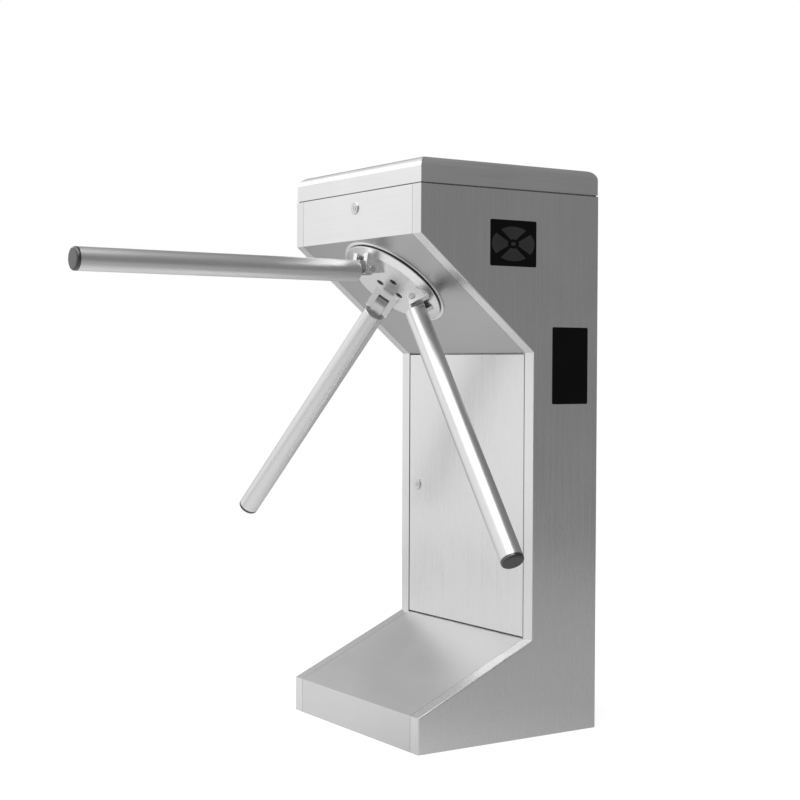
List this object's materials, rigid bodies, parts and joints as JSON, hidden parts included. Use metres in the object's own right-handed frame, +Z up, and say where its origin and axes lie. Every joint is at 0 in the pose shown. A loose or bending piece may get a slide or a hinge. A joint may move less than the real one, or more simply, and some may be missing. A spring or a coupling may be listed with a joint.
{
  "type": "tripod turnstile",
  "caption": "Tripod turnstile that counts visitors: C-shaped brushed steel pedestal, slanted hub with drop-down arms, sealed lid, access door, lamp and reader windows.",
  "frame": {"origin": "centre of the four anchor-bolt holes, on the floor under the pedestal", "axes": "+Z up; -X points to the passage side, where the level top arm points; +Y along the width; the pedestal is symmetric about the XZ plane"},
  "size_m": [0.9055, 0.849, 0.98],
  "materials": {
    "cabinet_steel": "satin brushed stainless steel",
    "rotor_steel": "fine satin stainless steel",
    "arm_steel": "polished stainless tube",
    "cap_grey": "turned steel plug",
    "lock_chrome": "plated",
    "galvanised_steel": "zinc plated",
    "machined_steel": "turned and ground",
    "spring_steel": "oiled spring steel",
    "cast_housing": "cast and machined",
    "solenoid_black": "black lacquer",
    "window_black": "gloss, smoked black",
    "module_black": "moulded",
    "board_green": "solder mask",
    "supply_case": "perforated case",
    "encoder_plate": "black oxide",
    "seal_rubber": "moulded",
    "seal_grey": "moulded silicone"
  },
  "bodies": {
    "cabinet": {"side_panel_left": "cabinet_steel", "side_panel_right": "cabinet_steel", "head_front_panel": "cabinet_steel", "slant_panel": "cabinet_steel", "foot_cover": "cabinet_steel", "back_panel": "cabinet_steel", "aperture_ring": "rotor_steel", "lid_lock_housing": "lock_chrome", "base_plate": "galvanised_steel", "top_rim": "galvanised_steel", "door_frame": "galvanised_steel", "electronics_tray": "galvanised_steel", "chassis_plate": "galvanised_steel", "lid_hinge_fixed_leaves": "galvanised_steel", "shaft_bearings": "machined_steel", "mechanism_posts": "machined_steel", "lid_hinge_pins": "machined_steel", "detent_spring": "spring_steel", "pawl_springs": "spring_steel", "bearing_housing": "cast_housing", "damper_body": "cast_housing", "solenoid_bodies": "solenoid_black", "indicator_windows": "window_black", "reader_windows": "window_black", "card_readers": "module_black", "sensor_block": "module_black", "indicator_boards": "board_green", "control_board": "board_green", "power_supply": "supply_case", "cable_grommet": "seal_rubber", "lid_gasket": "seal_grey"},
    "lid": {"lid": "cabinet_steel", "lid_hinge_moving_leaves": "galvanised_steel", "lid_lock_strike": "galvanised_steel"},
    "lid_lock": {"lid_lock_plug": "lock_chrome"},
    "door": {"access_door": "cabinet_steel", "door_pivot_pins": "machined_steel", "door_lock_housing": "lock_chrome"},
    "door_lock": {"door_lock_plug": "lock_chrome"},
    "rotor": {"hub_disc": "rotor_steel", "rotor_fasteners": "machined_steel", "arm_brackets": "rotor_steel", "pivot_pins": "arm_steel", "main_shaft": "machined_steel", "index_disc": "machined_steel", "lock_disc": "machined_steel", "main_gear": "machined_steel", "encoder_disc": "encoder_plate", "arm_tube_2": "arm_steel", "arm_tube_3": "arm_steel", "arm_tongues_2_3": "arm_steel", "arm_caps_2_3": "cap_grey"},
    "arm_1": {"arm_tube_1": "arm_steel", "arm_tongue_1": "arm_steel", "arm_cap_1": "cap_grey"},
    "pawl_left": {"lock_pawl_left": "machined_steel"},
    "pawl_right": {"lock_pawl_right": "machined_steel"},
    "plunger_left": {"lock_plunger_left": "machined_steel"},
    "plunger_right": {"lock_plunger_right": "machined_steel"},
    "damper": {"damper_pinion": "machined_steel"}
  },
  "joints": [
    {"name": "rotor_turn", "type": "hinge", "parent": "cabinet", "child": "rotor", "pos_m": [-0.10555, 0, 0.7858], "axis": [-0.6374, 0, -0.7705], "continuous": true, "deforming": ["detent_spring"]},
    {"name": "arm_1_drop", "type": "hinge", "parent": "rotor", "child": "arm_1", "pos_m": [-0.16777, -0.00253, 0.80517], "axis": [0.0323, -0.9991, -0.0267], "range_deg": [0, 90]},
    {"name": "damper_spin", "type": "hinge", "parent": "cabinet", "child": "damper", "pos_m": [-0.04083, 0, 0.73225], "axis": [-0.6374, 0, -0.7705], "continuous": true},
    {"name": "lock_pawl_right_swing", "type": "hinge", "parent": "cabinet", "child": "pawl_right", "pos_m": [-0.15179, 0.08, 0.82404], "axis": [-0.6374, 0, -0.7705], "range_deg": [0, 9], "stiffness_Nm_per_rad": 0.3, "springref_deg": -17.19, "deforming": ["pawl_springs"]},
    {"name": "lock_pawl_left_swing", "type": "hinge", "parent": "cabinet", "child": "pawl_left", "pos_m": [-0.15179, -0.08, 0.82404], "axis": [0.6374, 0, 0.7705], "range_deg": [0, 9], "stiffness_Nm_per_rad": 0.3, "springref_deg": -17.19},
    {"name": "lock_plunger_right_push", "type": "slide", "parent": "cabinet", "child": "plunger_right", "axis": [0, -1, 0], "range_m": [0, 0.008]},
    {"name": "lock_plunger_left_push", "type": "slide", "parent": "cabinet", "child": "plunger_left", "axis": [0, 1, 0], "range_m": [0, 0.008]},
    {"name": "lid_open", "type": "hinge", "parent": "cabinet", "child": "lid", "pos_m": [0.1913, 0, 0.936], "axis": [0, 1, 0], "range_deg": [0, 80]},
    {"name": "lid_lock_turn", "type": "hinge", "parent": "cabinet", "child": "lid_lock", "pos_m": [-0.188, 0, 0.91], "axis": [-1, 0, 0], "range_deg": [0, 90]},
    {"name": "door_open", "type": "hinge", "parent": "cabinet", "child": "door", "pos_m": [0.052, -0.172, 0.4], "axis": [0, 0, 1], "range_deg": [0, 22]},
    {"name": "door_lock_turn", "type": "hinge", "parent": "door", "child": "door_lock", "pos_m": [0.046, 0.151, 0.413], "axis": [-1, 0, 0], "range_deg": [0, 90]}
  ],
  "couplings": [
    {"joint": "damper_spin", "follows": "rotor_turn", "ratio": -2.5},
    {"joint": "lock_plunger_right_push", "follows": "lock_pawl_right_swing", "m_per_rad": 0.05},
    {"joint": "lock_plunger_left_push", "follows": "lock_pawl_left_swing", "m_per_rad": 0.05}
  ]
}
